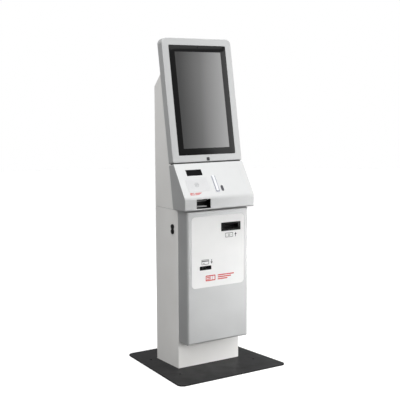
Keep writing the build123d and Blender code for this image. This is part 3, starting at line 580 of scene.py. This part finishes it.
# The same for a disc or a ring
def printDisc(radius, thick, hollow=0.0):
    disc = startRod("disc", radius, (0, -thick / 2, 0), (0, thick / 2, 0), 48)
    if hollow:
        cutAway(disc, startRod("inside", radius - hollow, (0, -thick, 0), (0, thick, 0), 48))
    return disc


# An arrow along X, turned in degrees from there
def arrowPrint(length, head, line, thick, turned):
    shaft = putAt(printBar((length - head, line), 0, thick), (-head / 2, 0, 0))
    point = head * 0.72
    bpy.ops.object.select_all(action="DESELECT")
    bpy.ops.mesh.primitive_cylinder_add(vertices=3, radius=point, depth=thick,
                                        rotation=(math.pi / 2, math.pi / 2, 0))
    tip = bpy.context.object
    bpy.ops.object.transform_apply()
    putAt(tip, (length / 2 - point, 0, 0))
    return putAt(joinAll("arrow", [shaft, tip]), (0, 0, 0), Matrix.Rotation(math.radians(turned), 4, "Y"))


ink = {"thick": 0.0003, "line": 0.0022, "proud": 0.00005}
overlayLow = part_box("door_overlay")[0]
inkY = overlayLow.y + ink["thick"] / 2 - ink["proud"]

# A banknote with an arrow, under the banknote mouth
noteSpot = {"place": (0.077, inkY, 0.6645), "size": (0.046, 0.022), "corner": 0.002, "middle": -0.012,
            "coin": 0.0056, "dash": (0.004, 0.0014), "dashX": (-0.0255, 0.0015),
            "arrow": (0.022, 0.010, 0.0032), "arrowX": 0.0265}
noteParts = [putAt(printBar(noteSpot["size"], noteSpot["corner"], ink["thick"], ink["line"]),
                   (noteSpot["middle"], 0, 0)),
             putAt(printDisc(noteSpot["coin"], ink["thick"], ink["line"]), (noteSpot["middle"], 0, 0))]
noteParts += [putAt(printBar(noteSpot["dash"], 0, ink["thick"]), (x, 0, 0)) for x in noteSpot["dashX"]]
noteParts.append(putAt(arrowPrint(*noteSpot["arrow"], ink["thick"], -90), (noteSpot["arrowX"], 0, 0)))
noteMark = putAt(joinAll("banknote_mark", noteParts), noteSpot["place"])
finishPiece(noteMark, "front_door", "white_film", "grey_print")

# A card with an arrow, above the card outlet
cardSpot = {"place": (-0.0645, inkY, 0.5425), "size": (0.042, 0.0245), "corner": 0.003, "middle": -0.012,
            "bars": (((0.037, 0.0048), (-0.012, 0, 0.0046)), ((0.011, 0.0022), (-0.021, 0, -0.0058))),
            "arrow": (0.023, 0.010, 0.0032), "arrowX": 0.0255}
cardParts = [putAt(printBar(cardSpot["size"], cardSpot["corner"], ink["thick"], ink["line"]),
                   (cardSpot["middle"], 0, 0))]
cardParts += [putAt(printBar(size, 0, ink["thick"]), spot) for size, spot in cardSpot["bars"]]
cardParts.append(putAt(arrowPrint(*cardSpot["arrow"], ink["thick"], 90), (cardSpot["arrowX"], 0, 0)))
cardMark = putAt(joinAll("card_mark", cardParts), cardSpot["place"])
finishPiece(cardMark, "front_door", "white_film", "grey_print")


# A plain device: the outline of a ticket with a dashed tear line, and three bars beside it
def ticketDevice(name, width, height, thick):
    line = height * 0.14
    ticketWide = width * 0.34
    body = printBar((ticketWide, height * 0.78), height * 0.08, thick, line)
    parts = [putAt(body, (-width / 2 + ticketWide / 2, 0, 0))]
    for dash in range(4):
        parts.append(putAt(printBar((line * 0.7, height * 0.1), 0, thick),
                           (-width / 2 + ticketWide * 0.68, 0, height * (0.24 - 0.16 * dash))))
    for rise in (height * 0.12, -height * 0.12):
        parts.append(putAt(printBar((ticketWide * 0.38, line), 0, thick),
                           (-width / 2 + ticketWide * 0.33, 0, rise)))
    for bar, share in enumerate((1.0, 0.82, 0.6)):
        barWide = width * 0.58 * share
        parts.append(putAt(printBar((barWide, line * 1.15), line * 0.5, thick),
                           (width / 2 - width * 0.58 + barWide / 2, 0, height * (0.27 - 0.27 * bar))))
    return joinAll(name, parts)


doorDevice = putAt(ticketDevice("door_device", 0.168, 0.036, ink["thick"]), (0.010, inkY, 0.461))
finishPiece(doorDevice, "front_door", "white_film", "red_print")

# A spot on the console's slope, measured down from the seam and out from the sheet
slopeNormal = Vector((0, -math.cos(slopeLean), math.sin(slopeLean)))
slopeDown = Vector((0, -math.sin(slopeLean), -math.cos(slopeLean)))


def onSlope(x, down, lift):
    return Vector((x, seam.y, seam.z)) + slopeDown * down + slopeNormal * lift


padFacts = {"place": (-0.103, 0.119, 0.0002), "size": (0.126, 0.070), "corner": 0.004, "thick": 0.0005,
            "rings": ((0.0115, 0.0013), (0.0072, 0.0012), (0.0026, 0.0)),
            "ringPlace": (-0.1105, 0.1205, 0.0006)}
pad = putAt(printBar(padFacts["size"], padFacts["corner"], padFacts["thick"]),
            onSlope(*padFacts["place"]), slopeTurn)
pad.name = "contactless_pad"
finishPiece(pad, "cabinet", "pale_abs", "pale_print")
# Two rings and a dot show where a card is held
ringParts = [printDisc(ring, ink["thick"], wide) for ring, wide in padFacts["rings"]]
rings = putAt(joinAll("pad_rings", ringParts), onSlope(*padFacts["ringPlace"]), slopeTurn)
finishPiece(rings, "cabinet", "pale_abs", "ring_print")
consoleDevice = putAt(ticketDevice("console_device", 0.066, 0.0155, ink["thick"]),
                      onSlope(-0.130, 0.168, 0.0001), slopeTurn)
finishPiece(consoleDevice, "cabinet", "silver_paint", "red_print")
print("prints made")



# A frame with its front edges rounded, facing -Y at the origin
def roundedFrame(name, size, corner, thick, wide, edge):
    rim = printBar(size, corner, thick, wide)
    roundEdges(rim, edge, 2, lambda p, w: p.y < -0.43 * thick and abs(w.y) < 0.5)
    rim.name = name
    return rim


# A polished lip round the banknote funnel, and one round the card slot
lipFacts = {"bill_lip": {"node": "bill_bezel", "size": (0.090, 0.0305), "corner": 0.003, "wide": 0.0022,
                         "rise": 0.001},
            "card_lip": {"node": "card_bezel", "size": (0.0605, 0.0105), "corner": 0.002, "wide": 0.0014,
                         "rise": 0.0}}
for name, facts in lipFacts.items():
    lipLow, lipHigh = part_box(facts["node"])
    lip = roundedFrame(name, facts["size"], facts["corner"], 0.0016, facts["wide"], 0.0006)
    putAt(lip, ((lipLow.x + lipHigh.x) / 2, lipLow.y - 0.0003, (lipLow.z + lipHigh.z) / 2 + facts["rise"]))
    finishPiece(lip, "front_door", "black_abs", "black_gloss")

# Foam strip round the doorway, in the gap behind the door
sealFacts = {"size": (0.340, 0.640), "corner": 0.004, "thick": 0.0008, "wide": 0.007,
             "place": (-0.003, 0.465)}
doorSeal = printBar(sealFacts["size"], sealFacts["corner"], sealFacts["thick"], sealFacts["wide"])
doorSeal.name = "door_seal"
putAt(doorSeal, (sealFacts["place"][0], leftLow.y - sealFacts["thick"] / 2, sealFacts["place"][1]))
finishPiece(doorSeal, "cabinet", "rubber_black")

# Painted shade: flat dark strips standing for the shadow in the grooves beside the card guide's bar, closed
# at the bottom
grooveShadeFacts = {"place": (-0.002, 0.121, 0.0006), "half": 0.0098, "long": 0.084, "wide": 0.0021,
               "thick": 0.0006}
grooveHalf, grooveLong, grooveWide = (grooveShadeFacts[key] for key in ("half", "long", "wide"))
grooveShadeParts = [putAt(printBar((grooveWide, grooveLong), 0, grooveShadeFacts["thick"]), (side * grooveHalf, 0, 0))
               for side in (-1, 1)]
grooveShadeParts.append(putAt(printBar((2 * grooveHalf, grooveWide), 0, grooveShadeFacts["thick"]),
                         (0, 0, -grooveLong / 2)))
grooveShadeStrips = putAt(joinAll("guide_groove_painted_shade", grooveShadeParts), onSlope(*grooveShadeFacts["place"]), slopeTurn)
finishPiece(grooveShadeStrips, "cabinet", "pale_abs", "painted_groove_shade")

# Dark rim round the status lamp
lampRim = roundedFrame("lamp_rim", (0.0134, 0.0305), 0.0062, 0.0014, 0.0030, 0.0005)
putAt(lampRim, onSlope(middle("status_lamp").x, 0.1465, 0.0006), slopeTurn)
finishPiece(lampRim, "cabinet", "smoked_lens", "lamp_shade")

# A fine pressed line near the right edge of the slope
beadFacts = {"corner": 0.0006, "thick": 0.0005, "lines": (((0.0014, 0.106), (0.1675, 0.088, 0.0001)),
                                                          ((0.062, 0.0014), (0.1372, 0.0355, 0.0001)))}
beadParts = [putAt(printBar(size, beadFacts["corner"], beadFacts["thick"]), onSlope(*place), slopeTurn)
             for size, place in beadFacts["lines"]]
finishPiece(joinAll("slope_bead", beadParts), "cabinet", "silver_paint")

# Camera lens behind the glass border, with a thin ring
lensFacts = {"discs": ((0.0042, 0.0003, 0.0010), (0.0018, 0.0004, 0.0)), "out": 0.0021}
lensSpot = middle("camera_module")
lensParts = [printDisc(*disc) for disc in lensFacts["discs"]]
lensFace = Vector((0, -math.cos(screenLean), math.sin(screenLean)))
glassFront = middle("touch_glass") + lensFace * lensFacts["out"]
lensDrop = (lensSpot - glassFront).dot(lensFace)
lens = putAt(joinAll("camera_lens", lensParts), lensSpot - lensFace * lensDrop, screenTurn)
finishPiece(lens, "cabinet", "smoked_lens", "lens_ring")

# Square frame round the presence sensor's lens
sensorFacts = {"up": 0.0155, "out": 0.0004, "size": (0.0165, 0.0165), "corner": 0.0025, "thick": 0.0012,
               "wide": 0.0042}
screenUp = Vector((0, math.sin(screenLean), math.cos(screenLean)))
sensorFrame = printBar(sensorFacts["size"], sensorFacts["corner"], sensorFacts["thick"], sensorFacts["wide"])
putAt(sensorFrame, seam + screenUp * sensorFacts["up"] + lensFace * sensorFacts["out"], screenTurn)
sensorFrame.name = "sensor_frame"
finishPiece(sensorFrame, "cabinet", "smoked_lens", "black_gloss")
print("small front parts made")

# Screws: every head sinks a little into its plate
screwFacts = {"radius": 0.0036, "high": 0.0019, "cross": (0.0044, 0.0009, 0.0011), "sunk": 0.0002,
              "columnX": 0.166, "columnZ": (0.045, 0.275, 0.505, 0.745), "headX": 0.170,
              "headZ": (0.812, 1.380), "roofX": 0.164, "roofUp": (0.016, 0.108),
              "frontHinges": (0.200, 0.440, 0.680),
              "frontRows": (0.011, 0.049), "fixedY": -0.042, "doorY": -0.087, "leaf": 0.002,
              "rearHinges": (0.880, 1.260), "rearRows": (0.010, 0.050), "rearX": 0.1755, "rearLeaf": 0.0015,
              "cover": ((-0.170, -0.018), (0, -0.018), (0.170, -0.018), (-0.186, -0.160), (0.186, -0.160))}


# A pan head with a cross recess, facing +Z at the origin
def makeScrew(radius, high):
    screw = startRod("screw", radius, (0, 0, 0), (0, 0, high), 20)
    roundEdges(screw, high * 0.55, 3, lambda p, w: p.z > high * 0.99)
    longSide, shortSide, deep = screwFacts["cross"]
    share = radius / screwFacts["radius"]
    for x, y in ((longSide, shortSide), (shortSide, longSide)):
        x, y = x * share / 2, y * share / 2
        cutAway(screw, startBox("slot", (-x, -y, high - deep * share), (x, y, high + 0.001)))
    return screw


# One pattern, and a copy with its own mesh at each spot
def screwsAt(name, radius, high, spots, facing):
    pattern = makeScrew(radius, high)
    turnTo = Vector(facing).to_track_quat("Z", "Y").to_matrix().to_4x4()
    copies = []
    for spot in spots:
        one = pattern.copy()
        one.data = pattern.data.copy()
        bpy.context.scene.collection.objects.link(one)
        copies.append(putAt(one, spot, turnTo))
    bpy.data.objects.remove(pattern)
    return joinAll(name, copies)


radius, high, sunk = (screwFacts[key] for key in ("radius", "high", "sunk"))
rearY = leftHigh.y - sunk
columnX, headX, roofX = (screwFacts[key] for key in ("columnX", "headX", "roofX"))
roofWay = Vector((0, 1, 1)).normalized()
roofUp = Vector((0, -1, 1)).normalized()
frontRows = [low + rise for low in screwFacts["frontHinges"] for rise in screwFacts["frontRows"]]
rearRows = [low + rise for low in screwFacts["rearHinges"] for rise in screwFacts["rearRows"]]
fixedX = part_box("column_right_panel")[1].x + screwFacts["leaf"]
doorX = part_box("front_door")[1].x + screwFacts["leaf"]
rearWay = -lensFace
rearReach = max(point.co.dot(rearWay) for point in nodes["monitor_back_cover"].data.vertices)
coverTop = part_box("monitor_back_cover")[1]
coverSpots = [Vector((x, coverTop.y, coverTop.z + z)) for x, z in screwFacts["cover"]]
screwRows = [
    ("column_screws", "cabinet", radius, high,
     [(x, rearY, z) for x in (-columnX, columnX) for z in screwFacts["columnZ"]], (0, 1, 0)),
    ("head_screws", "cabinet", radius, high,
     [(x, rearY, z) for x in (-headX, headX) for z in screwFacts["headZ"]], (0, 1, 0)),
    ("roof_screws", "cabinet", radius, high,
     [roofStart + roofUp * up + Vector((x, 0, 0)) - roofWay * sunk
      for x in (-roofX, roofX) for up in screwFacts["roofUp"]], roofWay),
    ("hinge_screws_fixed", "cabinet", 0.003, 0.0015, [(fixedX, screwFacts["fixedY"], z) for z in frontRows],
     (1, 0, 0)),
    ("hinge_screws_door", "front_door", 0.003, 0.0015, [(doorX, screwFacts["doorY"], z) for z in frontRows],
     (1, 0, 0)),
    ("rear_hinge_screws", "cabinet", 0.0024, 0.0012,
     [(screwFacts["rearX"], leftHigh.y + screwFacts["rearLeaf"], z) for z in rearRows], (0, 1, 0)),
    ("monitor_screws", "cabinet", radius, high,
     [spot + rearWay * (rearReach - spot.dot(rearWay) - sunk) for spot in coverSpots], rearWay)]
for name, body, headRadius, headHigh, spots, facing in screwRows:
    finishPiece(screwsAt(name, headRadius, headHigh, spots, facing), body, "zinc_plate")
print("screws made")

# Raised rims on the side lock's swivelling cover: one over the keyhole, one round its pivot
coverFacts = {"centres": (lockZ, 0.686), "radius": 0.0098, "wide": 0.0016, "out": 0.0008, "in": 0.0002,
              "edge": 0.0004, "sides": 40}
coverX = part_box("lock_cover")[0].x


def coverRod(name, rodRadius, z, out, back):
    return startRod(name, rodRadius, (coverX - out, lockY, z), (coverX + back, lockY, z),
                    coverFacts["sides"])


rimParts = []
for z in coverFacts["centres"]:
    one = coverRod("rim", coverFacts["radius"], z, coverFacts["out"], coverFacts["in"])
    cutAway(one, coverRod("inside", coverFacts["radius"] - coverFacts["wide"], z, 0.002, 0.002))
    roundEdges(one, coverFacts["edge"], 2, lambda p, w: p.x < coverX - 0.0007 and abs(w.x) < 0.5)
    rimParts.append(one)
finishPiece(joinAll("lock_cover_rims", rimParts), "lock_cover", "black_zinc")
print("lock cover made")
